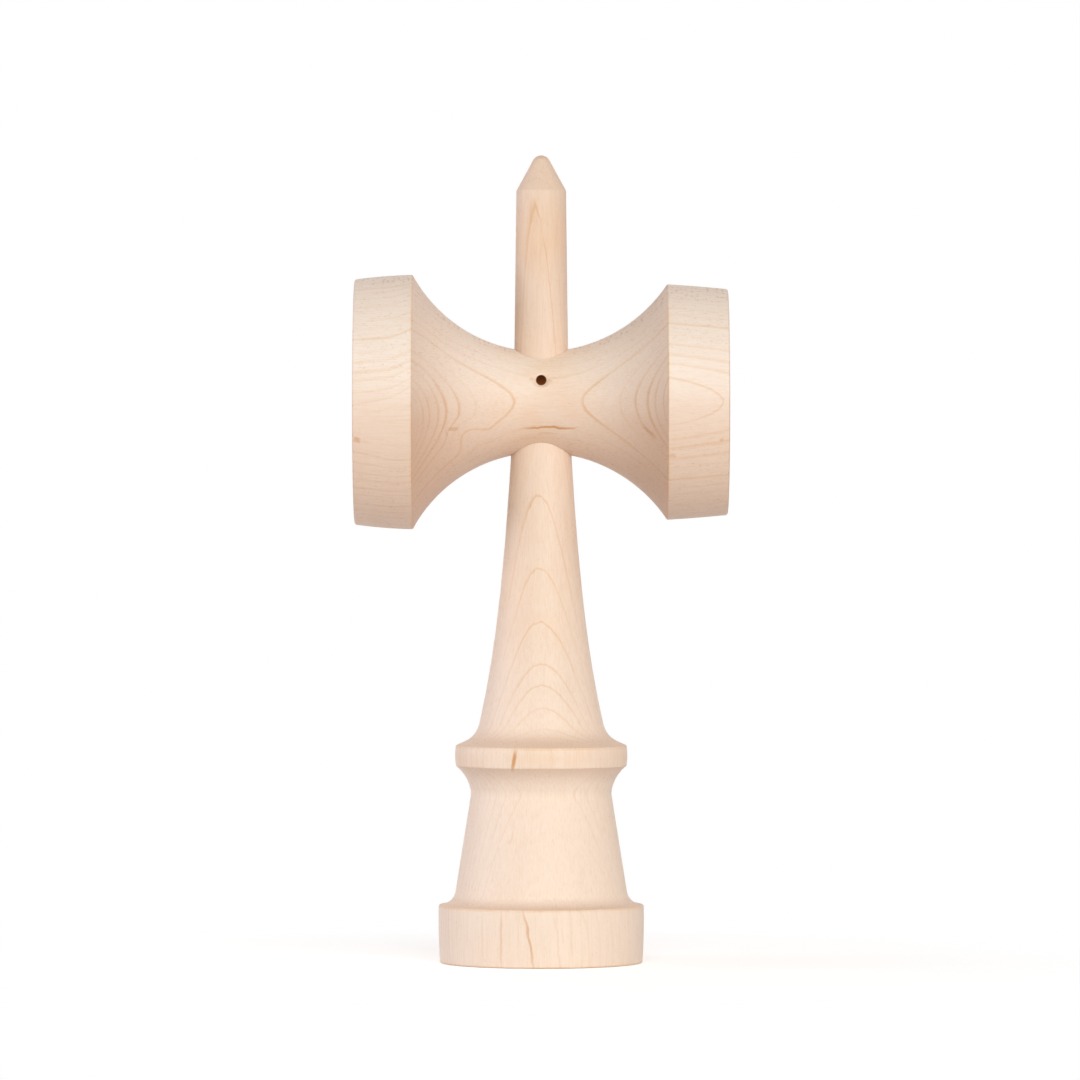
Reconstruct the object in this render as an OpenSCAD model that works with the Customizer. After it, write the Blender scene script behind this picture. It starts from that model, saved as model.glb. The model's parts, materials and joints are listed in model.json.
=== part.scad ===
// Kendama of turned maple: a handle (ken) with a spike, a collar and a cupped base, and a cross
// piece (sarado) with a cup at each end that wedges on the handle's tapered seat.
// Millimetres. The handle stands on Z with its foot at Z 0, and the cross piece lies along X.

/* [Base] */
// Diameter of the base at its foot
foot_d = 42.2; // [40:0.1:44]
// Diameter of the base rim at its top
rim_d = 42.7; // [41:0.1:46]
// Height of the base rim
rim_h = 12.15; // [9:0.05:16]
// How far the rim's side swells between its edges
rim_crown = 0.13; // [0:0.01:0.4]
// Rounding of the rim's edges
rim_ease = 0.45; // [0.2:0.05:1]
// Diameter of the base cup's mouth
base_cup_d = 36.5; // [32:0.1:37.5]
// Depth of the base cup
base_cup_depth = 9; // [7:0.1:10.5]
// Diameter of the cone that stands on the rim, at the rim's top
cone_d = 36.56; // [34:0.02:38]
// Radius of the cove between the rim and the cone
cone_cove_r = 3.5; // [2:0.1:4.5]
// Height of the cone, from the rim to the neck
cone_h = 23.3; // [18:0.1:30]

/* [Collar] */
// Diameter of the neck
neck_d = 29.14; // [26:0.02:32]
// Rounding of the neck, where the cone turns into the hollow under the collar
neck_ease = 3.7; // [2:0.1:6]
// Height of the hollow under the collar
hollow_h = 5.6; // [4:0.1:8]
// Radius of the hollow under the collar
hollow_r = 8.3; // [5:0.1:10]
// Diameter of the collar at its edges
collar_d = 35.58; // [34:0.02:38]
// Height of the collar's band
collar_h = 4.2; // [3:0.1:6]
// How far the collar's band swells between its edges
collar_crown = 0.14; // [0:0.01:0.4]
// Rounding of the collar's edges
collar_ease = 0.3; // [0.1:0.05:0.8]
// Height of the cove over the collar
cove_h = 4.25; // [3:0.05:6]
// Radius of the cove over the collar
cove_r = 4.9; // [3:0.1:6]

/* [Grip] */
// Diameter of the grip at its foot, over the cove
grip_d = 25.98; // [22:0.02:28]
// Height of the grip, from the cove to the seat
grip_h = 56.1; // [45:0.1:70]
// Lean of the grip's side at its foot, in degrees from upright
grip_foot_lean = 13; // [8:0.5:18]
// Lean of the grip's side at the seat, in degrees from upright
grip_top_lean = 3.4; // [2:0.1:6]

/* [Seat and spike] */
// Diameter of the tapered seat at its foot
seat_d = 12.6; // [11.8:0.02:14]
// Diameter of the tapered seat at its top, where the spike begins
seat_top_d = 11.14; // [10.6:0.02:11.7]
// Height of the seat, which the cross piece covers
seat_h = 22.2; // [20:0.1:26]
// Radial clearance between the seat and the cross piece's bore
seat_clear = 0.08; // [0.03:0.01:0.1]
// Diameter of the spike under its point
spike_d = 10.34; // [9:0.02:10.6]
// Height of the spike from the seat to its point
spike_h = 32.85; // [25:0.05:42]
// Height of the point
point_h = 7.35; // [5:0.05:10]
// Radius of the rounded tip
tip_r = 1.95; // [1:0.05:2.5]
// Rounding of the shoulder where the point begins
shoulder_ease = 0.8; // [0.3:0.1:2]

/* [Cross piece] */
// Length of the cross piece over both cups
cross_l = 77.6; // [70:0.2:86]
// Diameter of the waist between the cups
waist_d = 21; // [19:0.1:23]
// Rounding of the sharp edge between a flare and its rim
arris_ease = 0.35; // [0.1:0.05:0.8]
// Rounding of the rims' outer edges
lip_ease = 0.5; // [0.2:0.05:0.9]
// Rounding of the cups' mouths, on the cross piece and on the base
mouth_ease = 0.7; // [0.3:0.05:0.9]

/* [Big cup] */
// Diameter of the big rim where the flare meets it
big_rim_d = 52.92; // [50:0.02:56]
// Diameter of the big rim at its lip
big_lip_d = 51; // [49.5:0.1:54]
// Width of the big rim along the cross piece
big_rim_w = 12.05; // [9:0.05:15]
// How far the big rim's side swells between its edges
big_crown = 0.18; // [0:0.01:0.5]
// Diameter of the big cup's mouth
big_cup_d = 46; // [43:0.1:47]
// Depth of the big cup
big_cup_depth = 12; // [9:0.1:14]

/* [Small cup] */
// Diameter of the small rim where the flare meets it
small_rim_d = 49; // [46:0.1:52]
// Diameter of the small rim at its lip
small_lip_d = 47; // [45.5:0.1:50]
// Width of the small rim along the cross piece
small_rim_w = 12.6; // [9:0.05:15]
// How far the small rim's side swells between its edges
small_crown = 0.06; // [0:0.01:0.5]
// Diameter of the small cup's mouth
small_cup_d = 42; // [39:0.1:43]
// Depth of the small cup
small_cup_depth = 10.5; // [8:0.1:13]

/* [String hole] */
// Diameter of the string hole
hole_d = 2.1; // [1.6:0.1:3]
// Height of the string hole over the cross piece's axis
hole_up = 4.5; // [2:0.1:6]
// Diameter of the countersink where the string leaves the waist
sink_d = 3.8; // [3.2:0.1:5]
// Depth of that countersink
sink_depth = 0.5; // [0.3:0.05:1]
// Diameter of the seats for the string's knot at the ends of the handle's hole
knot_d = 4.2; // [3.4:0.1:5]
// Depth of the knot seats
knot_depth = 1.1; // [0.6:0.1:1.8]

/* [Hidden] */

$fn = 96;

// How far a cut runs past the face that it opens
overrun = 2;

// Steps on a rounded edge, on a crowned side, on the round tip and on a long curve
ease_steps = 5;
crown_steps = 6;
tip_steps = 8;
curve_steps = 18;

// Place of the outline's corner in the hollow under the collar: out from the neck, up from the neck
hollow_shares = [0.24, 0.625];
// Place of the outline's corner in the cove over the collar: out from the grip, up from the collar
cove_shares = [0.2, 0.41];
// Shares of the grip's height over which the leans at its foot and at its top still shape it
grip_foot_share = 0.25;
grip_top_share = 0.47;

// Heights on the handle
neck_z = rim_h + cone_h;
collar_z = neck_z + hollow_h;
cove_z = collar_z + collar_h;
grip_z = cove_z + cove_h;
seat_z = grip_z + grip_h;
spike_z = seat_z + seat_h;
point_z = spike_z + spike_h;
handle_h = point_z + point_h;

// The cross piece's axis and the string hole
cross_z = seat_z + seat_h / 2;
hole_z = cross_z + hole_up;
half_l = cross_l / 2;
waist_r = waist_d / 2;

// Points on an arc about c, from angle a to angle b
function arc(c, r, a, b, steps) =
    [for (i = [0:steps]) let (w = a + (b - a) * i / steps) c + r * [cos(w), sin(w)]];

// Points of a smooth curve from p to s that leaves towards q and arrives from r
function curve(p, q, r, s, steps) =
    [for (i = [0:steps]) let (t = i / steps, u = 1 - t)
        u * u * u * p + 3 * u * u * t * q + 3 * u * t * t * r + t * t * t * s];

// Points turned into corners with no rounding
function plain(points) = [for (p = points) [p[0], p[1], 0]];

// Corners between p and q on a side that swells outwards by crown
function crowned(p, q, crown) =
    [for (i = [1:crown_steps - 1]) let (t = i / crown_steps)
        [p[0] + (q[0] - p[0]) * t + 4 * crown * t * (1 - t), p[1] + (q[1] - p[1]) * t, 0]];

// Radius of a dish from its mouth's radius and its depth
function dish_r(mouth_r, depth) = (mouth_r * mouth_r + depth * depth) / (2 * depth);

// Outline of a dish from its lip to its deepest point, with the lip at height 0 and rounded by ease
function dish(mouth_r, depth, ease) =
    let (r = dish_r(mouth_r, depth),
         centre = [0, depth - r],
         bead = [sqrt(pow(r + ease, 2) - pow(r - depth + ease, 2)), ease],
         turn = atan2(bead[1] - centre[1], bead[0]))
    concat(arc(bead, ease, -90, turn - 180, ease_steps),
           [for (i = [1:curve_steps]) let (w = turn + (90 - turn) * i / curve_steps)
               centre + r * [cos(w), sin(w)]]);

// A corner's place, and the way from corner i to corner j
function at(c, i) = [c[i][0], c[i][1]];
function way(c, i, j) = (at(c, j) - at(c, i)) / norm(at(c, j) - at(c, i));

// Half of the angle at corner i
function half_angle(c, i) = acos(max(-1, min(1, way(c, i, i - 1) * way(c, i, i + 1)))) / 2;

// Outline of corners [r, z, rounding]: each rounding becomes an arc, as large as its sides have room for
function rounded(c) =
    let (last = len(c) - 1,
         reach = [for (i = [0:last]) c[i][2] > 0 ? c[i][2] / tan(half_angle(c, i)) : 0],
         room = [for (i = [0:last - 1])
             let (need = reach[i] + reach[i + 1], side = norm(at(c, i + 1) - at(c, i)))
             need > side ? side / need : 1])
    [for (i = [0:last])
        each c[i][2] > 0 ? corner(c, i, reach[i] * min(room[i - 1], room[i])) : [at(c, i)]];

// Points of one rounded corner, whose arc begins and ends at reach from the corner
function corner(c, i, reach) =
    let (back = way(c, i, i - 1), on = way(c, i, i + 1), half = half_angle(c, i),
         r = reach * tan(half),
         centre = at(c, i) + (back + on) / norm(back + on) * r / sin(half),
         from = at(c, i) + back * reach - centre,
         to = at(c, i) + on * reach - centre,
         a = atan2(from[1], from[0]),
         b = atan2(to[1], to[0]),
         turn = b - a > 180 ? b - a - 360 : b - a < -180 ? b - a + 360 : b - a)
    arc(centre, r, a, a + turn, ease_steps);

function reversed(points) = [for (i = [len(points) - 1:-1:0]) points[i]];

// Radius of the seat's cone at height z
function seat_r(z) = (seat_d + (seat_top_d - seat_d) * (z - seat_z) / seat_h) / 2;

// The handle's side from the foot to the cove over the collar
foot_corner = [foot_d / 2, 0, rim_ease];
rim_corner = [rim_d / 2, rim_h, rim_ease];
collar_foot = [collar_d / 2, collar_z, collar_ease];
collar_top = [collar_d / 2, cove_z, collar_ease];
hollow_corner = [
    (neck_d + (collar_d - neck_d) * hollow_shares[0]) / 2,
    neck_z + hollow_h * hollow_shares[1],
    hollow_r
];
cove_corner = [
    (grip_d + (collar_d - grip_d) * cove_shares[0]) / 2,
    cove_z + cove_h * cove_shares[1],
    cove_r
];
base_side = concat(
    [foot_corner],
    crowned(foot_corner, rim_corner, rim_crown),
    [rim_corner, [cone_d / 2, rim_h, cone_cove_r]],
    [[neck_d / 2, neck_z, neck_ease], hollow_corner, collar_foot],
    crowned(collar_foot, collar_top, collar_crown),
    [collar_top, cove_corner]
);

// The grip's side, and the point with its round tip
grip_foot = [grip_d / 2, grip_z];
grip_top = [seat_d / 2, seat_z];
grip_side = curve(
    grip_foot,
    grip_foot + grip_h * grip_foot_share * [-tan(grip_foot_lean), 1],
    grip_top + grip_h * grip_top_share * [tan(grip_top_lean), -1],
    grip_top,
    curve_steps
);
tip_centre = [0, handle_h - tip_r];
shoulder = [spike_d / 2, point_z];
// Angle of the point's side, where a line from the shoulder touches the tip's circle
tip_turn = acos(tip_r / norm(shoulder - tip_centre))
    + atan2(shoulder[1] - tip_centre[1], shoulder[0]);
tip_side = arc(tip_centre, tip_r, tip_turn, 90, tip_steps);

handle_outline = rounded(concat(
    plain(reversed(dish(base_cup_d / 2, base_cup_depth, mouth_ease))),
    base_side,
    plain(grip_side),
    [[seat_top_d / 2, spike_z, 0], [shoulder[0], shoulder[1], shoulder_ease]],
    plain(tip_side)
));

// One half of the cross piece, from the waist to the bottom of its cup: [radius, distance from the middle]
function cup_side(rim_d, lip_d, rim_w, crown, cup_d, cup_depth) =
    let (reach = half_l - rim_w,
         rise = rim_d / 2 - waist_r,
         flare_r = (reach * reach + rise * rise) / (2 * rise),
         turn = atan2(reach, flare_r - rise),
         arris = [rim_d / 2, reach, arris_ease],
         lip = [lip_d / 2, half_l, lip_ease])
    concat(
        [for (i = [1:curve_steps - 1]) let (w = turn * i / curve_steps)
            [waist_r + flare_r * (1 - cos(w)), flare_r * sin(w), 0]],
        [arris],
        crowned(arris, lip, crown),
        [lip],
        [for (p = dish(cup_d / 2, cup_depth, mouth_ease)) [p[0], half_l - p[1], 0]]
    );

big_side = cup_side(big_rim_d, big_lip_d, big_rim_w, big_crown, big_cup_d, big_cup_depth);
small_side = cup_side(small_rim_d, small_lip_d, small_rim_w, small_crown, small_cup_d, small_cup_depth);
cross_outline = rounded(concat(
    [for (p = reversed(big_side)) [p[0], -p[1], p[2]]],
    [[waist_r, 0, 0]],
    small_side
));

// Slope of the waist's round side where the string leaves it
hole_lean = asin(hole_up / waist_r);

// The string's straight way, from one distance behind the handle's axis to another before it
module string_way(back, front) {
    translate([0, back, hole_z])
        rotate([90, 0, 0])
            cylinder(d = hole_d, h = back + front);
}

// Countersink square to the waist, round the mouth of the string hole
module countersink() {
    widen = (sink_d - hole_d) / 2 * (1 + overrun / sink_depth);
    translate([0, 0, cross_z])
        rotate([90 - hole_lean, 0, 0])
            translate([0, 0, waist_r - sink_depth])
                cylinder(d1 = hole_d, d2 = hole_d + 2 * widen, h = sink_depth + overrun);
}

// Seat for the knot, at one end of the hole through the handle
module knot_seat() {
    slope = (knot_d - hole_d) / 2 / knot_depth;
    translate([0, 0, hole_z])
        rotate([90, 0, 0])
            translate([0, 0, seat_r(hole_z) - knot_depth])
                cylinder(d1 = hole_d, d2 = knot_d + 2 * slope * overrun, h = knot_depth + overrun);
}

// Handle: base cup, rim, cone, collar, grip, seat and spike in one turned piece
module handle() {
    color("burlywood")
        difference() {
            rotate_extrude() polygon(handle_outline);
            string_way(seat_d / 2, seat_d / 2);
            for (turn = [0, 180]) rotate([0, 0, turn]) knot_seat();
        }
}

// Cross piece: big cup on the left, small cup on the right, the tapered bore for the handle between them,
// and the string hole in the front wall
module cross_piece() {
    color("wheat")
        difference() {
            translate([0, 0, cross_z])
                rotate([0, 90, 0])
                    rotate_extrude() polygon(cross_outline);
            translate([0, 0, seat_z - overrun])
                cylinder(
                    r1 = seat_r(seat_z - overrun) + seat_clear,
                    r2 = seat_r(spike_z + overrun) + seat_clear,
                    h = seat_h + 2 * overrun
                );
            string_way(0, waist_r + overrun);
            countersink();
        }
}

handle();
cross_piece();
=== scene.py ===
"""Turned maple kendama: gives the handle and the cross piece their grain and sets up the studio."""

import json
import math
from collections import namedtuple

import bpy
from bpy.props import FloatProperty, FloatVectorProperty, PointerProperty
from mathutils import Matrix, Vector


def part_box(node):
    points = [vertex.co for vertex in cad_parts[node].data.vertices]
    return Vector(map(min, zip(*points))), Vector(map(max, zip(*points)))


bl_info = {
    "name": "Turned Maple Kendama",
    "version": (1, 0, 0),
    "blender": (4, 5, 0),
    "location": "3D View > Sidebar > Kendama",
    "description": "Gives a kendama's handle and cross piece their maple grain and sets up a white studio",
    "category": "Object",
}

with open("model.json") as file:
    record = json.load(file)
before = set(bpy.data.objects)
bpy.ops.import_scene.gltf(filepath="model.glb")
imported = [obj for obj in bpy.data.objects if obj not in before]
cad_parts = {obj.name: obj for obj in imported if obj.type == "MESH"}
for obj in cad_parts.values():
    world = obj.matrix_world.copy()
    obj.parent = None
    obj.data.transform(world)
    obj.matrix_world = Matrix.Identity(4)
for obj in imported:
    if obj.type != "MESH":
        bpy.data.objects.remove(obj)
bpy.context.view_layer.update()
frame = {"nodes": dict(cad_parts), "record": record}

# Grain is worked out in millimetres
MM = 1000.0

# Places on the kendama, from the frame, in metres
CROSS_LOW, CROSS_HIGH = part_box("cross_piece")
CROSS_AXIS = Vector((0.0, 0.0, (CROSS_LOW.z + CROSS_HIGH.z) / 2))
HANDLE_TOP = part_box("handle")[1].z
STRING_HOLE = next(m for m in frame["record"]["mounts"] if m["name"] == "string_hole")

# How much of the end grain's tint the pale wood takes
PALE_SOAKED = 0.5

# How a piece was cut from the log, in millimetres where no other unit is named.
# centre is the grain's own origin, in metres. along, across and depth are its axes, with depth out of the
# log towards the front. twist is how much more the growth rings lean across the grain with each millimetre
# along it, from level, where they don't lean. bends are the stretches along the grain in which the log bends,
# and how far it has then gone across and out. dents are places where the rings dip into the log. pith is how
# far the middle of the log lies behind, or in front where it is negative. square is the strength that a
# ring's line keeps where the ring is cut square, and torn the strength of the tool marks on the upper side,
# where they also stand in for painted shade on the top.
# soaked is how much of the end grain's tint the warm wood takes. warmth is the share of warm wood at the
# grain's origin, and warming how much it grows in a millimetre (across, depth, along).
Bend = namedtuple("Bend", "start end across out")
Dent = namedtuple("Dent", "along across half_along half_across depth")
Timber = namedtuple(
    "Timber", "centre along across depth twist level bends dents pith square torn soaked warmth warming",
)
HANDLE_TIMBER = Timber(
    centre=(0.0, 0.0, 0.0), along=(0.0, 0.0, 1.0), across=(1.0, 0.0, 0.0), depth=(0.0, -1.0, -0.031),
    twist=-0.0022, level=66.0, bends=(), dents=(), pith=40.0, square=0.15, torn=0.0, soaked=PALE_SOAKED,
    warmth=0.0, warming=(0.0, 0.0, 0.006),
)
CROSS_TIMBER = Timber(
    centre=tuple(CROSS_AXIS), along=(1.0, 0.0, 0.0), across=(0.0, 0.0, 1.0), depth=(-0.048, -1.0, 0.0),
    twist=0.0, level=0.0,
    bends=(Bend(-4.0, -22.0, -4.5, 0.0), Bend(-22.0, -32.0, -3.5, 0.0), Bend(-22.0, -38.0, 0.0, 1.7)),
    dents=(Dent(-15.5, -7.0, 5.5, 4.5, 3.0),),
    pith=-36.0, square=0.5, torn=0.80, soaked=0.75, warmth=0.5, warming=(-0.055, 0.0, 0.0),
)

# Growth rings that reach the front: depth from the grain's origin and width of the dark line that the ring
# leaves on the surface, in millimetres, and strength of its tint
Ring = namedtuple("Ring", "depth width strength")
HANDLE_RINGS = (
    Ring(20.93, 0.45, 0.25), Ring(20.21, 0.45, 0.25), Ring(19.06, 0.45, 0.12), Ring(17.90, 0.45, 0.08),
    Ring(16.58, 0.45, 0.06), Ring(15.00, 0.45, 0.08), Ring(12.83, 0.45, 0.30), Ring(11.67, 0.45, 0.40),
    Ring(10.50, 0.50, 0.50), Ring(9.44, 0.50, 0.58), Ring(8.55, 0.50, 0.55), Ring(7.06, 0.50, 0.65),
    Ring(5.50, 0.50, 0.60), Ring(3.81, 0.55, 0.95), Ring(0.47, 0.45, 0.80),
)
CROSS_RINGS = (
    Ring(25.80, 0.5, 0.12), Ring(24.60, 0.5, 0.15), Ring(23.35, 0.5, 0.60), Ring(21.85, 0.5, 0.65),
    Ring(19.90, 0.8, 0.60), Ring(18.40, 0.9, 0.90), Ring(16.35, 0.8, 0.75), Ring(14.30, 0.6, 0.30),
    Ring(11.31, 0.75, 1.05), Ring(8.90, 0.6, 0.45), Ring(6.70, 0.6, 0.40),
)

# The rings behind those: their usual width in millimetres, how much it swings, and how fast
HANDLE_RING_WIDTH = 1.3
CROSS_RING_WIDTH = 2.1
RING_SWING = 0.3
RING_BEAT = 2.4

# Coloured streaks in the wood: middle in metres, half sizes in millimetres, turn in degrees as seen from the
# front, and strength
Mark = namedtuple("Mark", "middle half_sizes turn strength")
HANDLE_MARKS = (
    Mark((-0.0057, -0.0170, 0.0428), (0.50, 3.0, 2.7), 9, 1.00),
    Mark((-0.0025, -0.0212, 0.0060), (0.36, 4.0, 7.5), -9, 0.65),
    Mark((-0.0082, -0.0197, 0.0060), (0.30, 4.0, 7.5), 0, 0.28),
    Mark((0.0034, -0.0212, 0.0050), (0.28, 4.0, 7.5), -5, 0.16),
    Mark((0.0062, -0.0205, 0.0065), (0.28, 4.0, 6.5), -2, 0.16),
    Mark((-0.0121, -0.0176, 0.0060), (0.28, 4.0, 6.5), 0, 0.12),
    Mark((-0.0062, -0.0165, 0.0265), (0.30, 3.0, 1.8), 14, 0.25),
)
CROSS_MARKS = (
    Mark((0.0020, -0.0089, 0.1113), (7.0, 3.0, 0.28), 0, 0.95),
    Mark((0.0014, -0.0089, 0.1101), (2.6, 3.0, 0.22), 0, 0.25),
    Mark((-0.0020, -0.0105, 0.1213), (0.55, 3.0, 0.30), 35, 0.30),
    Mark((0.0020, -0.0105, 0.1211), (0.55, 3.0, 0.30), 35, 0.30),
    Mark((-0.0184, -0.0145, 0.1111), (1.45, 3.0, 0.55), 0, 0.45),
    Mark((-0.0197, -0.0145, 0.1105), (0.40, 3.0, 1.20), -12, 0.35),
    Mark((-0.0379, -0.0249, 0.1088), (1.00, 3.0, 0.65), 15, 0.55),
    Mark((0.0224, -0.0180, 0.1103), (2.4, 3.0, 0.42), 45, 0.50),
    Mark((0.0270, -0.0230, 0.1056), (1.00, 3.0, 0.60), 0, 0.40),
    Mark((0.0371, -0.0235, 0.1088), (0.50, 3.0, 0.50), 0, 0.40),
)

# How far the tool went along the piece in a turn of the lathe, in millimetres
TOOL_FEED = 1.05

# String hole: how far behind the handle's axis it has ended, the length in which its colour fades there, and
# how far its dark wood, partly burnt by the drill and partly painted shade of the deep hole, reaches out of
# its edge and starts inside it, in millimetres
HOLE_END = 8.0
HOLE_FADE = 1.0
BURN_AND_SHADE_REACH = 0.12
BURN_AND_SHADE_START = 0.02

# Share of the painted glow in the string hole that its upper side keeps, so that its lower side is painted
# lighter
PAINTED_HOLE_UPPER_SHARE = 0.3

# How much smoother and rougher than the rest the hard and the soft fibres are, the values of the fibres'
# pattern at which they are so, and the share of light that the wood mirrors
FIBRE_SMOOTHER = 0.06
FIBRE_ROUGHER = 0.08
HARD_FIBRE, SOFT_FIBRE = 0.3, 0.8
MIRROR_SHARE = 0.3

# Clouds to a millimetre (across, depth, along) in the patterns that vary the wood
WANDER_CLOUDS = (0.13, 0.13, 0.05)
TONE_CLOUDS = (0.16, 0.16, 0.03)
FLECK_CLOUDS = (5.0, 0.7, 1.3)
RING_CLOUDS = (0.2, 0.2, 0.07)
FEED_CLOUDS = (0.3, 0.3, 0.3)
TEAR_CLOUDS = (1.1, 0.4, 1.0)
EDGE_CLOUDS = (0.1, 0.1, 0.1)

# Values, of a pattern or of how the surface is turned, between which something changes, and its strength
# before and after
Fade = namedtuple("Fade", "start end low high", defaults=(0.0, 1.0))
FIBRE_FADE = Fade(0.35, 0.75, 0.0, 0.6)
FLECK_FADE = Fade(0.58, 0.74)
SQUARE_FLECK_FADE = Fade(0.7, 0.98, 0.28, 0.6)
RING_FADE = Fade(0.25, 0.65, 0.6, 1.2)
END_GRAIN_FADE = Fade(0.25, 0.95)
EDGE_FADE = Fade(0.3, 0.65, 0.3, 1.0)
UPPER_SIDE_FADE = Fade(0.86, 0.95)
TURN_FADE = Fade(-0.3, 0.8, 0.2, 1.0)
TEAR_FADE = Fade(0.48, 0.66)

# How far the rings are turned from the surface where their lines start to weaken and are weakest
RING_SQUARE_START, RING_SQUARE_END = 0.2, 0.9

# Limits that keep the width of a ring's line finite where the surface lies along the ring or is end grain
MOST_LEVEL = 0.998
LEAST_ROUND = 0.01

# Share of a ring's width in which its dark wood stops again
RING_STOP_SHARE = 0.4

# How much the slow clouds swing the tone
TONE_SWING = 0.5

# Waves of the mineral streaks: number to a millimetre, and how far they swing, in millimetres
STREAK_WAVES = 0.3
STREAK_SWING = 0.6

# Edges and stretches that handling has browned, and at the handle's foot, 0.25 mm up, painted shade where it
# stands on the floor: place along the piece and half width, in millimetres, and strength
Edge = namedtuple("Edge", "place half_width strength")
HANDLE_EDGES_AND_FOOT_SHADE = (
    Edge(45.0, 0.4, 0.9), Edge(41.15, 0.3, 0.5), Edge(11.85, 0.4, 0.9), Edge(0.25, 0.4, 0.8),
    Edge(43.1, 2.8, 0.45), Edge(150.0, 12.0, 0.50), Edge(78.0, 22.0, 0.30),
)
CROSS_EDGES = (Edge(-26.75, 0.4, 0.9), Edge(26.2, 0.4, 1.0), Edge(0.0, 16.0, 0.58))


def rings_behind(front, width, reach):
    """Front rings, and on from the deepest of them rings of about one width until reach is passed."""
    rings = list(front)
    depth = front[-1].depth
    count = 0
    while depth > -reach:
        count += 1
        depth -= width * (1 + RING_SWING * math.sin(RING_BEAT * count))
        model = front[count % len(front)]
        rings.append(Ring(depth, model.width, model.strength))
    return rings


class Wiring:
    """Adds nodes to one tree and joins them, so that each step of a finish reads as one call."""

    def __init__(self, tree):
        self.tree = tree
        tree.nodes.clear()

    def node(self, kind, inputs=(), **settings):
        """One node with its settings, and its inputs from plain values or from other nodes' sockets."""
        node = self.tree.nodes.new(kind)
        for name, value in settings.items():
            setattr(node, name, value)
        for key, value in dict(inputs).items():
            if isinstance(value, bpy.types.NodeSocket):
                self.tree.links.new(value, node.inputs[key])
            else:
                node.inputs[key].default_value = value
        return node

    def math(self, operation, *values, clamp=False):
        """Result of a sum on numbers."""
        return self.node("ShaderNodeMath", enumerate(values), operation=operation, use_clamp=clamp).outputs[0]

    def vector(self, operation, *values):
        """Result of a sum on vectors."""
        node = self.node("ShaderNodeVectorMath", enumerate(values), operation=operation)
        return node.outputs["Value" if operation in {"DOT_PRODUCT", "LENGTH"} else "Vector"]

    def step(self, value, start, end, low=0.0, high=1.0):
        """Smooth change from low to high while value goes from start to end."""
        inputs = {"Value": value, "From Min": start, "From Max": end, "To Min": low, "To Max": high}
        return self.node("ShaderNodeMapRange", inputs, interpolation_type="SMOOTHSTEP").outputs["Result"]

    def noise(self, place, detail=2.0, roughness=0.5):
        """Cloudy pattern between 0 and 1, about one cloud to each unit of place."""
        inputs = {"Vector": place, "Scale": 1.0, "Detail": detail, "Roughness": roughness}
        return self.node("ShaderNodeTexNoise", inputs).outputs["Fac"]

    def blend(self, share, first, second, how="MIX"):
        """Colour that goes from first to second by a share."""
        node = self.node("ShaderNodeMix", {0: share, 6: first, 7: second}, data_type="RGBA", blend_type=how)
        return node.outputs[2]


def opaque(colour):
    """Colour with its alpha, as a colour socket takes it."""
    return (*colour, 1.0)


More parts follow.
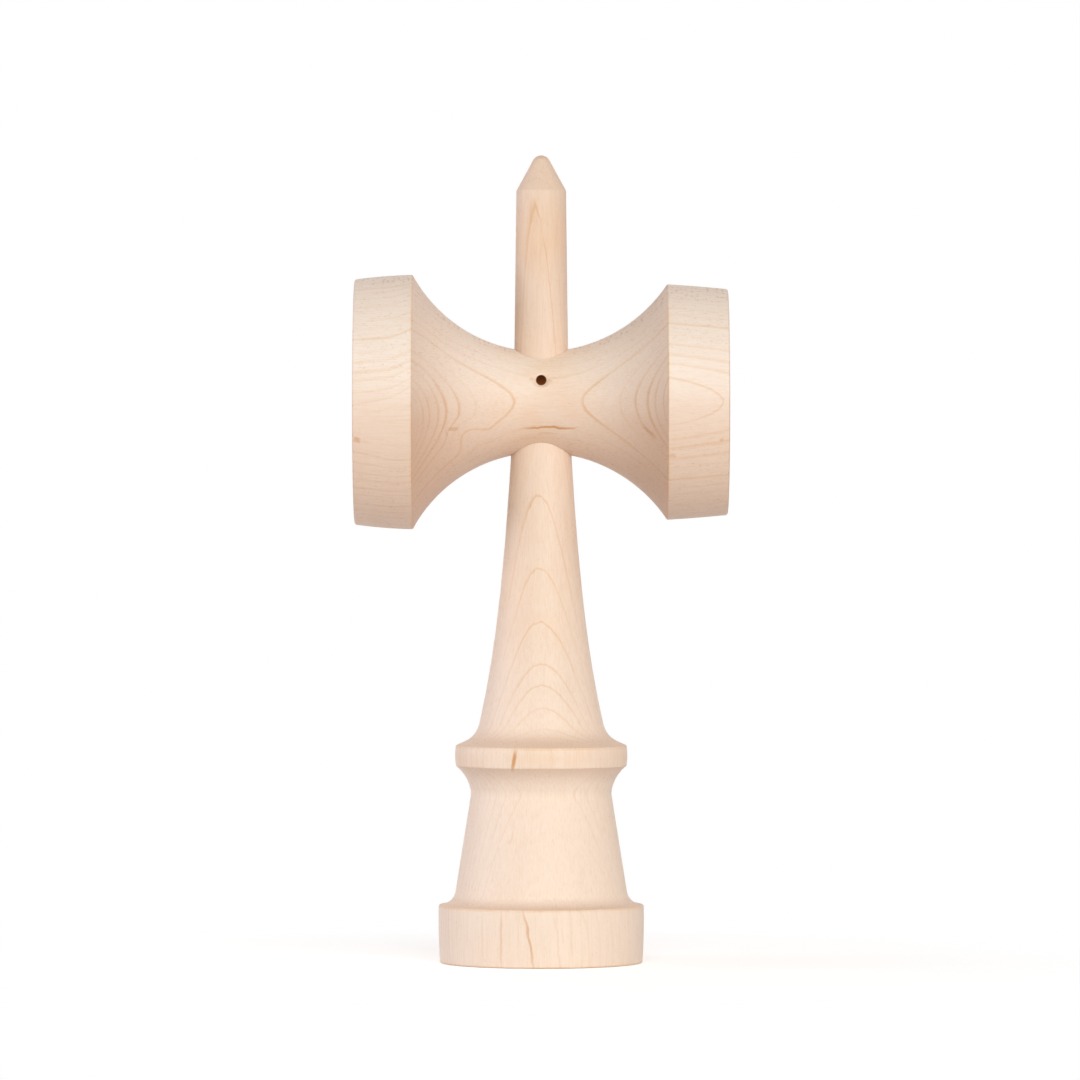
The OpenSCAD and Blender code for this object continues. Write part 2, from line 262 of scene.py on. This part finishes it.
class KENDAMA_PG_maple(bpy.types.PropertyGroup):
    """Colours and sizes of the maple's grain."""

    handle_foot: FloatVectorProperty(
        name="Handle Foot", description="Colour of the handle's pale wood, at its foot",
        subtype="COLOR", size=3, min=0.0, max=1.0, default=(0.975, 0.803, 0.676),
    )
    handle_tip: FloatVectorProperty(
        name="Handle Tip", description="Colour of the handle's warm wood, at its tip",
        subtype="COLOR", size=3, min=0.0, max=1.0, default=(0.838, 0.646, 0.514),
    )
    cross_top: FloatVectorProperty(
        name="Cross Piece Top", description="Colour of the cross piece's pale wood, in its upper half",
        subtype="COLOR", size=3, min=0.0, max=1.0, default=(0.937, 0.804, 0.710),
    )
    cross_bottom: FloatVectorProperty(
        name="Cross Piece Bottom", description="Colour of the cross piece's warm wood, in its lower half",
        subtype="COLOR", size=3, min=0.0, max=1.0, default=(0.862, 0.660, 0.530),
    )
    ring_tint: FloatVectorProperty(
        name="Ring Tint", description="What the dark wood at a ring's end does to the colour",
        subtype="COLOR", size=3, min=0.0, max=1.0, default=(0.91, 0.79, 0.64),
    )
    end_tint: FloatVectorProperty(
        name="End Grain Tint", description="What a cut across the grain does to the colour",
        subtype="COLOR", size=3, min=0.0, max=1.0, default=(0.786, 0.686, 0.624),
    )
    # Browning of the edges, which at the handle's foot is painted shade where it stands on the floor
    edge_wear_and_shade_tint: FloatVectorProperty(
        name="Edge Tint", description="What handling does to the colour of the edges",
        subtype="COLOR", size=3, min=0.0, max=1.0, default=(0.97, 0.84, 0.68),
    )
    fibre_tint: FloatVectorProperty(
        name="Fibre Tint", description="What the darker fibres do to the colour",
        subtype="COLOR", size=3, min=0.0, max=1.0, default=(0.93, 0.88, 0.82),
    )
    fleck_tint: FloatVectorProperty(
        name="Fleck Tint", description="What the ray flecks do to the colour",
        subtype="COLOR", size=3, min=0.0, max=1.0, default=(0.84, 0.75, 0.66),
    )
    mark_tint: FloatVectorProperty(
        name="Streak Tint", description="What the mineral streaks do to the colour",
        subtype="COLOR", size=3, min=0.0, max=1.0, default=(0.76, 0.50, 0.27),
    )
    # Dark wood in the string hole: partly burnt by the drill, partly painted shade of the deep hole
    burnt_and_shaded: FloatVectorProperty(
        name="Singed Wood", description="Colour of the wood in the drilled string hole",
        subtype="COLOR", size=3, min=0.0, max=1.0, default=(0.26, 0.12, 0.055),
    )
    # Painted glow in the string hole, standing in for the light that reaches into it
    painted_hole_glow: FloatVectorProperty(
        name="Light in the Hole", description="Light that the thin wood round the string hole lets through",
        subtype="COLOR", size=3, min=0.0, max=1.0, default=(0.110, 0.034, 0.008),
    )
    wobble: FloatProperty(
        name="Ring Wobble", description="How far the growth rings wander from their smooth course",
        subtype="DISTANCE", unit="LENGTH", default=0.00016,
    )
    fibre_width: FloatProperty(
        name="Fibre Width", description="Width of the streaks that the wood's fibres make",
        subtype="DISTANCE", unit="LENGTH", default=0.00035,
    )
    fibre_length: FloatProperty(
        name="Fibre Length", description="Length of those streaks along the grain",
        subtype="DISTANCE", unit="LENGTH", default=0.008,
    )
    bump_height: FloatProperty(
        name="Fibre Relief", description="How deep the sanded fibres and flecks stand in the surface",
        subtype="DISTANCE", unit="LENGTH", default=0.00002,
    )
    roughness: FloatProperty(
        name="Roughness", description="Roughness of the finely sanded wood",
        subtype="FACTOR", min=0.0, max=1.0, default=0.52,
    )
    soft_angle: FloatProperty(
        name="Soft Edge Angle", description="Edges that turn less than this are shaded as one turned curve",
        subtype="ANGLE", unit="ROTATION", default=math.radians(28),
    )


class KENDAMA_PG_studio(bpy.types.PropertyGroup):
    """Sizes and colours of the studio."""

    floor_colour: FloatVectorProperty(
        name="Floor", description="Colour of the floor and of the empty background",
        subtype="COLOR", size=3, min=0.0, max=1.0, default=(1.0, 1.0, 1.0),
    )
    floor_size: FloatProperty(
        name="Floor Size", description="Length of the floor's sides",
        subtype="DISTANCE", unit="LENGTH", default=4.0,
    )
    floor_bounce: FloatProperty(
        name="Floor Bounce", description="Share of the light that the floor throws back on the kendama",
        subtype="FACTOR", min=0.0, max=1.0, default=0.82,
    )
    floor_shade: FloatProperty(
        name="Floor Shade", description="Share of the floor's white that a shadow can take away",
        subtype="FACTOR", min=0.0, max=1.0, default=0.8,
    )
    floor_glow: FloatProperty(
        name="Floor Glow", description="Share of the floor's white that stays in every shadow",
        subtype="FACTOR", min=0.0, max=1.0, default=0.495,
    )
    shadow_reach: FloatProperty(
        name="Shadow Reach",
        description="Distance from the handle at which the shadow has faded to plain white",
        subtype="DISTANCE", unit="LENGTH", default=0.13,
    )
    ambient: FloatProperty(
        name="Ambient Light", description="Strength of the even light from all round", default=0.302,
    )
    back_light: FloatProperty(
        name="Back Light", description="How much stronger the even light is straight behind the kendama",
        default=2.2,
    )
    ambient_colour: FloatVectorProperty(
        name="Ambient Colour", description="Colour of the even light from all round",
        subtype="COLOR", size=3, min=0.0, max=1.0, default=(1.0, 0.894, 0.865),
    )
    camera_distance: FloatProperty(
        name="Camera Distance", description="Distance of the camera in front of the handle",
        subtype="DISTANCE", unit="LENGTH", default=1.7,
    )
    camera_height: FloatProperty(
        name="Camera Height", description="Height of the camera over the floor",
        subtype="DISTANCE", unit="LENGTH", default=0.108,
    )
    aim_side: FloatProperty(
        name="Aim Side", description="How far beside the handle's axis the camera looks",
        subtype="DISTANCE", unit="LENGTH", default=-0.00025,
    )
    aim_height: FloatProperty(
        name="Aim Height", description="Height over the floor at which the camera looks",
        subtype="DISTANCE", unit="LENGTH", default=0.0880,
    )
    lens: FloatProperty(
        name="Lens", description="Focal length of the camera in millimetres", default=272.3,
    )


# Corners of a piece's mesh that are nearer to each other than this, in metres, are shaded as one
JOIN_DISTANCE = 1e-6


def smooth_turning(piece, soft_angle):
    """Shades a turned piece as one smooth surface between its real edges, whatever faces it is built of."""
    group = bpy.data.node_groups.get("smooth_turning")
    if group is None:
        group = bpy.data.node_groups.new("smooth_turning", "GeometryNodeTree")
        group.interface.new_socket("Geometry", in_out="INPUT", socket_type="NodeSocketGeometry")
        group.interface.new_socket("Geometry", in_out="OUTPUT", socket_type="NodeSocketGeometry")
        wiring = Wiring(group)
        piece_in = wiring.node("NodeGroupInput")
        joined = wiring.node(
            "GeometryNodeMergeByDistance", {"Geometry": piece_in.outputs[0], "Distance": JOIN_DISTANCE},
        )
        angle = wiring.node("GeometryNodeInputMeshEdgeAngle").outputs["Unsigned Angle"]
        sharp = wiring.node("FunctionNodeCompare", {0: angle, 1: soft_angle}, operation="GREATER_THAN")
        shaded = wiring.node(
            "GeometryNodeSetMeshNormal",
            {"Mesh": joined.outputs[0], "Remove Custom": True, "Edge Sharpness": sharp.outputs[0]},
            mode="SHARPNESS",
        )
        wiring.node("NodeGroupOutput", {0: shaded.outputs[0]})
    piece.modifiers.new("smooth_turning", "NODES").node_group = group
    weighted = piece.modifiers.new("weighted_normals", "WEIGHTED_NORMAL")
    weighted.keep_sharp = True
    weighted.mode = "FACE_AREA_WITH_ANGLE"


def grain_place(wiring, timber, wobble):
    """Place in the wood as (across, depth, along) in millimetres, its depth among the growth rings, the share
    of a step on the surface that leads from ring to ring, and how far the rings are turned from the surface.
    """
    coordinates = wiring.node("ShaderNodeTexCoord").outputs
    place = wiring.vector("SUBTRACT", coordinates["Object"], timber.centre)
    across, depth, along = (
        wiring.vector("DOT_PRODUCT", place, tuple(MM * n for n in axis))
        for axis in (timber.across, timber.depth, timber.along)
    )
    grain = wiring.node("ShaderNodeCombineXYZ", {"X": across, "Y": depth, "Z": along}).outputs["Vector"]
    lean = wiring.math("MULTIPLY_ADD", along, timber.twist, -timber.twist * timber.level)
    for dent in timber.dents:
        offset = wiring.vector("SUBTRACT", grain, (dent.across, 0.0, dent.along))
        scaled = wiring.vector("MULTIPLY", offset, (1 / dent.half_across, 0.0, 1 / dent.half_along))
        dip = wiring.step(wiring.vector("LENGTH", scaled), 1.0, 0.0)
        depth = wiring.math("MULTIPLY_ADD", dip, -dent.depth, depth)
    for bend in timber.bends:
        bent = wiring.step(along, bend.start, bend.end)
        across = wiring.math("MULTIPLY_ADD", bent, -bend.across, across)
        depth = wiring.math("MULTIPLY_ADD", bent, -bend.out, depth)
    leant = wiring.math("MULTIPLY_ADD", across, lean, depth)
    wander = wiring.noise(wiring.vector("MULTIPLY", grain, WANDER_CLOUDS), detail=3.0, roughness=0.7)
    wandered = wiring.math("MULTIPLY_ADD", wander, 2 * MM * wobble, leant)
    out_of_log = wiring.math("ADD", wandered, timber.pith - MM * wobble)
    from_pith = wiring.node("ShaderNodeCombineXYZ", {"X": across, "Y": out_of_log}).outputs["Vector"]
    outwards = math.copysign(1.0, timber.pith)
    ring_depth = wiring.math("MULTIPLY_ADD", wiring.vector("LENGTH", from_pith), outwards, -timber.pith)

    facing = wiring.node("ShaderNodeCombineXYZ", {
        "X": wiring.vector("DOT_PRODUCT", coordinates["Normal"], timber.across),
        "Y": wiring.vector("DOT_PRODUCT", coordinates["Normal"], timber.depth),
    }).outputs["Vector"]
    outward = wiring.vector("DOT_PRODUCT", facing, wiring.vector("NORMALIZE", from_pith))
    level = wiring.math("MINIMUM", wiring.math("MULTIPLY", outward, outward), MOST_LEVEL)
    crossing = wiring.math("SQRT", wiring.math("SUBTRACT", 1.0, level))
    round_grain = wiring.math("MAXIMUM", wiring.vector("DOT_PRODUCT", facing, facing), LEAST_ROUND)
    straight_out = wiring.math("DIVIDE", level, round_grain)
    turned = wiring.math("SQRT", wiring.math("SUBTRACT", 1.0, straight_out, clamp=True))
    return grain, ring_depth, crossing, turned


def ring_lines(wiring, depth, crossing, rings):
    """Strength of the dark wood at the ends of the growth rings: it gathers slowly and stops at once."""
    total = 0.0
    for ring in rings:
        past = wiring.math("DIVIDE", wiring.math("SUBTRACT", depth, ring.depth), crossing)
        gathers = wiring.step(past, -ring.width, 0.0)
        stops = wiring.step(past, 0.0, RING_STOP_SHARE * ring.width, 1.0, 0.0)
        line = wiring.math("MINIMUM", gathers, stops)
        total = wiring.math("MULTIPLY_ADD", line, ring.strength, total)
    return total


def mark_spots(wiring, marks):
    """Strength of the mineral streaks: each is a thin, wavy blade of stained wood."""
    place = wiring.node("ShaderNodeTexCoord").outputs["Object"]
    pattern = {"Vector": place, "Scale": STREAK_WAVES * MM, "Detail": 2.0}
    waves = wiring.node("ShaderNodeTexNoise", pattern).outputs["Color"]
    reach = STREAK_SWING / MM
    swing = wiring.vector("MULTIPLY_ADD", waves, (2 * reach, 0.0, 2 * reach), (-reach, 0.0, -reach))
    wavy = wiring.vector("ADD", place, swing)
    total = 0.0
    for mark in marks:
        turned = wiring.node(
            "ShaderNodeVectorRotate",
            {"Vector": wavy, "Center": mark.middle, "Angle": math.radians(-mark.turn)},
            rotation_type="Y_AXIS",
        )
        offset = wiring.vector("SUBTRACT", turned.outputs[0], mark.middle)
        scaled = wiring.vector("MULTIPLY", offset, tuple(MM / half for half in mark.half_sizes))
        squared = wiring.vector("MULTIPLY", scaled, scaled)
        blade = wiring.step(wiring.vector("LENGTH", squared), 1.0, 0.0)
        total = wiring.math("MULTIPLY_ADD", blade, mark.strength, total)
    return total


def tool_marks_and_top_shade(wiring, grain):
    """Strength of the small tears, about a turn of the lathe apart, that the tool left on the upper side,
    where they also stand in for painted shade on the top.
    """
    across, _, along = wiring.node("ShaderNodeSeparateXYZ", {"Vector": grain}).outputs
    radius = wiring.vector("LENGTH", wiring.vector("MULTIPLY", grain, (1.0, 1.0, 0.0)))
    upper = wiring.step(wiring.math("DIVIDE", across, radius), *UPPER_SIDE_FADE)
    uneven = wiring.noise(wiring.vector("MULTIPLY", grain, FEED_CLOUDS), detail=1.0)
    turned = wiring.math("MULTIPLY_ADD", uneven, TOOL_FEED, along)
    turns = wiring.math("SINE", wiring.math("MULTIPLY", turned, 2 * math.pi / TOOL_FEED))
    tears = wiring.noise(wiring.vector("MULTIPLY", grain, TEAR_CLOUDS), detail=1.0)
    torn = wiring.math("MULTIPLY", wiring.step(turns, *TURN_FADE), wiring.step(tears, *TEAR_FADE))
    return wiring.math("MULTIPLY", torn, upper)


def edge_wear_and_shade(wiring, timber, edges):
    """Strength of the browning on the worn edges, in patches, and of the painted shade at the handle's foot.
    """
    place = wiring.node("ShaderNodeTexCoord").outputs["Object"]
    along = wiring.vector("DOT_PRODUCT", place, tuple(MM * n for n in timber.along))
    total = 0.0
    for edge in edges:
        away = wiring.math("ABSOLUTE", wiring.math("SUBTRACT", along, edge.place))
        total = wiring.math("MULTIPLY_ADD", wiring.step(away, edge.half_width, 0.0), edge.strength, total)
    patches = wiring.noise(wiring.vector("MULTIPLY", place, tuple(MM * n for n in EDGE_CLOUDS)), detail=2.0)
    return wiring.math("MULTIPLY", total, wiring.step(patches, *EDGE_FADE))


def maple(name, timber, rings, marks, edges, tones, wood):
    """Finely sanded maple cut from one log, with the marks of its growth, of the lathe and of handling, and
    with painted shade and light in places.
    """
    material = bpy.data.materials.new(name)
    material.use_nodes = True
    wiring = Wiring(material.node_tree)
    grain, depth, crossing, turned = grain_place(wiring, timber, wood.wobble)

    # Tone of the wood, which warms through the piece and in slow clouds
    warmth = wiring.math("ADD", wiring.vector("DOT_PRODUCT", grain, timber.warming), timber.warmth)
    clouds = wiring.noise(wiring.vector("MULTIPLY", grain, TONE_CLOUDS), detail=2.0)
    swing = wiring.math("MULTIPLY_ADD", clouds, TONE_SWING, -TONE_SWING / 2)
    tone = wiring.step(wiring.math("ADD", warmth, swing), 0.0, 1.0)
    colour = wiring.blend(tone, *(opaque(shade) for shade in tones))

    # Fibres along the grain
    fine = 1 / (MM * wood.fibre_width)
    drawn = 1 / (MM * wood.fibre_length)
    fibre = wiring.noise(wiring.vector("MULTIPLY", grain, (fine, fine, drawn)), detail=3.0, roughness=0.6)
    fibre_share = wiring.step(fibre, *FIBRE_FADE)
    colour = wiring.blend(fibre_share, colour, opaque(wood.fibre_tint), "MULTIPLY")

    # Ray flecks: thin blades that run out of the log and show best where the rings are cut square
    fleck = wiring.noise(wiring.vector("MULTIPLY", grain, FLECK_CLOUDS), detail=1.0)
    square_cut = wiring.step(crossing, *SQUARE_FLECK_FADE)
    fleck_share = wiring.math("MULTIPLY", wiring.step(fleck, *FLECK_FADE), square_cut)
    colour = wiring.blend(fleck_share, colour, opaque(wood.fleck_tint), "MULTIPLY")

    # Growth rings, which fade in and out along their course and where they are cut square
    fading = wiring.noise(wiring.vector("MULTIPLY", grain, RING_CLOUDS), detail=1.0)
    lines = ring_lines(wiring, depth, crossing, rings)
    lines = wiring.math("MULTIPLY", lines, wiring.step(fading, *RING_FADE))
    kept = wiring.step(turned, RING_SQUARE_START, RING_SQUARE_END, 1.0, timber.square)
    lines = wiring.math("MULTIPLY", lines, kept)
    colour = wiring.blend(lines, colour, opaque(wood.ring_tint), "MULTIPLY")

    # End grain, where the surface cuts across the fibres
    normal = wiring.node("ShaderNodeTexCoord").outputs["Normal"]
    cut = wiring.math("ABSOLUTE", wiring.vector("DOT_PRODUCT", normal, timber.along))
    soaked = wiring.math("MULTIPLY_ADD", tone, timber.soaked - PALE_SOAKED, PALE_SOAKED)
    end_share = wiring.math("MULTIPLY", wiring.step(cut, *END_GRAIN_FADE), soaked)
    colour = wiring.blend(end_share, colour, opaque(wood.end_tint), "MULTIPLY")

    # Tool marks, which on the top are also painted shade, streaks and worn edges
    if timber.torn:
        torn = wiring.math("MULTIPLY", tool_marks_and_top_shade(wiring, grain), timber.torn)
        colour = wiring.blend(torn, colour, opaque(wood.fleck_tint), "MULTIPLY")
    colour = wiring.blend(mark_spots(wiring, marks), colour, opaque(wood.mark_tint), "MULTIPLY")
    # The line at the handle's foot among these edges is painted shade where it stands on the floor
    colour = wiring.blend(edge_wear_and_shade(wiring, timber, edges), colour, opaque(wood.edge_wear_and_shade_tint), "MULTIPLY")

    # String hole, which ends in the wood at the back. Its dark wood is partly painted shade, and a painted
    # glow, stronger on its lower side, stands in for the light that falls in it
    hole_x, _, hole_z = STRING_HOLE["pos_m"]
    hole_r = STRING_HOLE["dims"]["r_mm"]
    hole_place = wiring.node("ShaderNodeTexCoord").outputs["Object"]
    beside = wiring.vector("SUBTRACT", hole_place, (hole_x, 0.0, hole_z))
    beside = wiring.vector("MULTIPLY", beside, (MM, MM, MM))
    _, behind, above = wiring.node("ShaderNodeSeparateXYZ", {"Vector": beside}).outputs
    round_hole = wiring.vector("LENGTH", wiring.vector("MULTIPLY", beside, (1.0, 0.0, 1.0)))
    burnt_and_shaded = wiring.step(round_hole, hole_r + BURN_AND_SHADE_REACH, hole_r - BURN_AND_SHADE_START)
    in_hole = wiring.math("MULTIPLY", burnt_and_shaded, wiring.step(behind, HOLE_END, HOLE_END - HOLE_FADE))
    colour = wiring.blend(in_hole, colour, opaque(wood.burnt_and_shaded))
    painted_hole_lit = wiring.math("MULTIPLY", in_hole, wiring.step(above, hole_r, -hole_r, PAINTED_HOLE_UPPER_SHARE, 1.0))
    painted_hole_glow = wiring.blend(painted_hole_lit, opaque((0.0, 0.0, 0.0)), opaque(wood.painted_hole_glow))

    # Sanded surface, on which the fibres stand out and the flecks lie low
    relief = wiring.math("SUBTRACT", fibre, fleck_share)
    bump = wiring.node("ShaderNodeBump", {"Height": relief, "Strength": 1.0, "Distance": wood.bump_height})
    smooth, rough = wood.roughness - FIBRE_SMOOTHER, wood.roughness + FIBRE_ROUGHER
    roughness = wiring.step(fibre, HARD_FIBRE, SOFT_FIBRE, smooth, rough)
    # The emission is the painted glow in the string hole
    shader = wiring.node("ShaderNodeBsdfPrincipled", {
        "Base Color": colour, "Roughness": roughness, "Normal": bump.outputs["Normal"],
        "Specular IOR Level": MIRROR_SHARE, "Emission Color": painted_hole_glow, "Emission Strength": 1.0,
    })
    wiring.node("ShaderNodeOutputMaterial", {"Surface": shader.outputs["BSDF"]})
    return material


def dress(node, material, soft_angle):
    """Gives a piece of the frame its finish."""
    piece = frame["nodes"][node]
    piece.data.materials.clear()
    piece.data.materials.append(material)
    smooth_turning(piece, soft_angle)


class KENDAMA_OT_handle(bpy.types.Operator):
    """Give the handle its maple, with the grain along the handle"""

    bl_idname = "kendama.handle"
    bl_label = "Handle"

    def execute(self, context):
        wood = context.scene.kendama_maple
        rings = rings_behind(HANDLE_RINGS, HANDLE_RING_WIDTH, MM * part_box("handle")[1].x)
        tones = (wood.handle_foot, wood.handle_tip)
        material = maple("handle_maple", HANDLE_TIMBER, rings, HANDLE_MARKS, HANDLE_EDGES_AND_FOOT_SHADE, tones, wood)
        dress("handle", material, wood.soft_angle)
        return {"FINISHED"}


class KENDAMA_OT_cross_piece(bpy.types.Operator):
    """Give the cross piece its maple, with the grain from cup to cup"""

    bl_idname = "kendama.cross_piece"
    bl_label = "Cross Piece"

    def execute(self, context):
        wood = context.scene.kendama_maple
        rings = rings_behind(CROSS_RINGS, CROSS_RING_WIDTH, MM * CROSS_HIGH.y)
        tones = (wood.cross_top, wood.cross_bottom)
        material = maple("cross_piece_maple", CROSS_TIMBER, rings, CROSS_MARKS, CROSS_EDGES, tones, wood)
        dress("cross_piece", material, wood.soft_angle)
        return {"FINISHED"}


# Soft boxes: place in metres, size in metres, power in watts and colour
Softbox = namedtuple("Softbox", "name place size power colour")
SOFTBOXES = (
    Softbox("softbox_front", (0.0, -1.73, 1.08), 1.0, 12.2, (0.93, 1.0, 0.95)),
    Softbox("softbox_right", (0.83, -1.785, 0.43), 1.0, 16.0, (1.0, 0.977, 0.935)),
    Softbox("softbox_left", (-0.6, 0.0, 0.16), 0.3, 1.18, (0.83, 0.87, 1.0)),
)

# Share of the shadow's reach over which it is whole
WHOLE_SHADOW_SHARE = 1 / 3

# Direction straight behind the kendama, and how near to it, from 0 square to it to 1, the back light is full
STRAIGHT_BEHIND = (0.0, 1.0, 0.0)
BACK_LIGHT_FULL = 0.9

# The camera's sensor, in millimetres, and how far it sees, in metres
SENSOR_WIDTH = 36.0
SIGHT = 100.0


def seen_directly(wiring):
    """1 for what the camera sees, straight, mirrored or through glass, and 0 for light on surfaces."""
    path = wiring.node("ShaderNodeLightPath").outputs
    mirrored = wiring.math("MAXIMUM", path["Is Glossy Ray"], path["Is Transmission Ray"])
    return wiring.math("MAXIMUM", path["Is Camera Ray"], mirrored)


def floor_material(studio):
    """White floor that stays white in the picture but for the shadow near the kendama."""
    material = bpy.data.materials.new("studio_floor")
    material.use_nodes = True
    wiring = Wiring(material.node_tree)
    white = opaque(studio.floor_colour)
    matt, shaded = (
        wiring.node("ShaderNodeBsdfDiffuse", {"Color": opaque(share * c for c in white[:3])}).outputs[0]
        for share in (studio.floor_bounce, studio.floor_shade)
    )
    glow = wiring.node("ShaderNodeEmission", {"Color": white, "Strength": studio.floor_glow})
    near = wiring.node("ShaderNodeAddShader", {0: shaded, 1: glow.outputs[0]})
    far = wiring.node("ShaderNodeEmission", {"Color": white, "Strength": 1.0})
    away = wiring.vector("LENGTH", wiring.node("ShaderNodeTexCoord").outputs["Object"])
    faded = wiring.step(away, WHOLE_SHADOW_SHARE * studio.shadow_reach, studio.shadow_reach)
    seen = wiring.node("ShaderNodeMixShader", {0: faded, 1: near.outputs[0], 2: far.outputs[0]})
    surface = wiring.node("ShaderNodeMixShader", {0: seen_directly(wiring), 1: matt, 2: seen.outputs[0]})
    wiring.node("ShaderNodeOutputMaterial", {"Surface": surface.outputs[0]})
    return material


def make_floor(scene, studio):
    """Flat floor under the kendama."""
    half = studio.floor_size / 2
    mesh = bpy.data.meshes.new("studio_floor")
    corners = [(-half, -half, 0.0), (half, -half, 0.0), (half, half, 0.0), (-half, half, 0.0)]
    mesh.from_pydata(corners, [], [(0, 1, 2, 3)])
    mesh.materials.append(floor_material(studio))
    floor = bpy.data.objects.new("studio_floor", mesh)
    scene.collection.objects.link(floor)


def make_world(scene, studio):
    """Even light from all round, stronger behind the kendama, which the camera sees as plain white."""
    world = bpy.data.worlds.new("studio_world")
    world.use_nodes = True
    wiring = Wiring(world.node_tree)
    direction = wiring.node("ShaderNodeTexCoord").outputs["Generated"]
    behind = wiring.vector("DOT_PRODUCT", direction, STRAIGHT_BEHIND)
    strength = wiring.step(behind, 0.0, BACK_LIGHT_FULL, studio.ambient, studio.ambient * studio.back_light)
    glow = {"Color": opaque(studio.ambient_colour), "Strength": strength}
    light = wiring.node("ShaderNodeBackground", glow).outputs[0]
    plain = {"Color": opaque(studio.floor_colour), "Strength": 1.0}
    seen = wiring.node("ShaderNodeBackground", plain).outputs[0]
    mixed = wiring.node("ShaderNodeMixShader", {0: seen_directly(wiring), 1: light, 2: seen})
    wiring.node("ShaderNodeOutputWorld", {"Surface": mixed.outputs[0]})
    scene.world = world


def aim(thing, place, target):
    """Puts a lamp or the camera at a place and turns it to a target."""
    thing.location = place
    thing.rotation_euler = (Vector(target) - Vector(place)).to_track_quat("-Z", "Y").to_euler()


def make_softbox(scene, box):
    """One square lamp turned to the middle of the kendama, out of the camera's sight."""
    lamp = bpy.data.lights.new(box.name, "AREA")
    lamp.shape = "SQUARE"
    lamp.size = box.size
    lamp.energy = box.power
    lamp.color = box.colour
    holder = bpy.data.objects.new(box.name, lamp)
    holder.visible_camera = False
    scene.collection.objects.link(holder)
    aim(holder, box.place, (0.0, 0.0, HANDLE_TOP / 2))


def make_camera(scene, studio):
    """Long lens in front of the kendama, a little above its middle."""
    camera = bpy.data.cameras.new("studio_camera")
    camera.sensor_width = SENSOR_WIDTH
    camera.lens = studio.lens
    camera.clip_end = SIGHT
    holder = bpy.data.objects.new("studio_camera", camera)
    scene.collection.objects.link(holder)
    place = (studio.aim_side, -studio.camera_distance, studio.camera_height)
    aim(holder, place, (studio.aim_side, 0.0, studio.aim_height))
    scene.camera = holder


class KENDAMA_OT_studio(bpy.types.Operator):
    """Set up the white floor, the light and the camera"""

    bl_idname = "kendama.studio"
    bl_label = "Studio"

    def execute(self, context):
        studio = context.scene.kendama_studio
        context.scene.view_settings.view_transform = "Standard"
        make_floor(context.scene, studio)
        make_world(context.scene, studio)
        for box in SOFTBOXES:
            make_softbox(context.scene, box)
        make_camera(context.scene, studio)
        return {"FINISHED"}


class KENDAMA_PT_sidebar(bpy.types.Panel):
    """The kendama's pieces, its wood and its studio"""

    bl_idname = "KENDAMA_PT_sidebar"
    bl_label = "Kendama"
    bl_space_type = "VIEW_3D"
    bl_region_type = "UI"
    bl_category = "Kendama"

    def draw(self, context):
        for settings, operators in (
            (context.scene.kendama_maple, PIECES),
            (context.scene.kendama_studio, STAGE),
        ):
            column = self.layout.column(align=True)
            for name in settings.__annotations__:
                column.prop(settings, name)
            for operator in operators:
                column.operator(operator.bl_idname)


PIECES = (KENDAMA_OT_handle, KENDAMA_OT_cross_piece)
STAGE = (KENDAMA_OT_studio,)
CLASSES = (KENDAMA_PG_maple, KENDAMA_PG_studio, *PIECES, *STAGE, KENDAMA_PT_sidebar)


def register():
    """Adds the kendama's classes and settings to Blender."""
    for cls in CLASSES:
        bpy.utils.register_class(cls)
    bpy.types.Scene.kendama_maple = PointerProperty(type=KENDAMA_PG_maple)
    bpy.types.Scene.kendama_studio = PointerProperty(type=KENDAMA_PG_studio)


def unregister():
    """Takes them away again."""
    del bpy.types.Scene.kendama_studio
    del bpy.types.Scene.kendama_maple
    for cls in reversed(CLASSES):
        bpy.utils.unregister_class(cls)


def main():
    """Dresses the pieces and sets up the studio."""
    register()
    bpy.ops.kendama.handle()
    bpy.ops.kendama.cross_piece()
    bpy.ops.kendama.studio()


if __name__ == "__main__":
    main()
